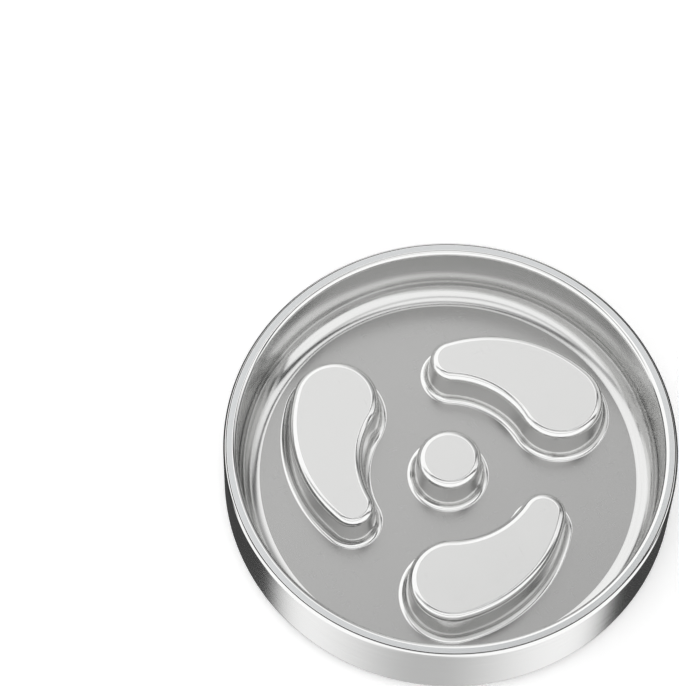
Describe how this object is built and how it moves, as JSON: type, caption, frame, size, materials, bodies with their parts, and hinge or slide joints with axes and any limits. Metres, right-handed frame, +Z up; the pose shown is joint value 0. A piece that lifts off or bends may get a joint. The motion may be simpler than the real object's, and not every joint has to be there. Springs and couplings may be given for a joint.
{
  "type": "slow feeder dog bowl",
  "caption": "Round double-walled stainless steel slow feeder bowl with raised comma-shaped islands, a centre boss and a stepped rubber anti-slip ring underneath.",
  "frame": {"origin": "centre of the footprint, on the surface that the bowl stands on", "axes": "+Z up along the bowl's axis, with the broad end of one island towards -Y"},
  "size_m": [0.22, 0.22, 0.0457],
  "materials": {
    "brushed_wall": "stainless steel brushed round the axis, polished at the base corner",
    "polished_pan": "stainless steel, mirror-polished walls and roundings with satin flats",
    "ring_rubber": "matte dark grey moulded rubber with a fine grain"
  },
  "bodies": {
    "root": {"outer_shell": "brushed_wall", "feeding_pan": "polished_pan", "anti_slip_ring": "ring_rubber"}
  },
  "joints": []
}
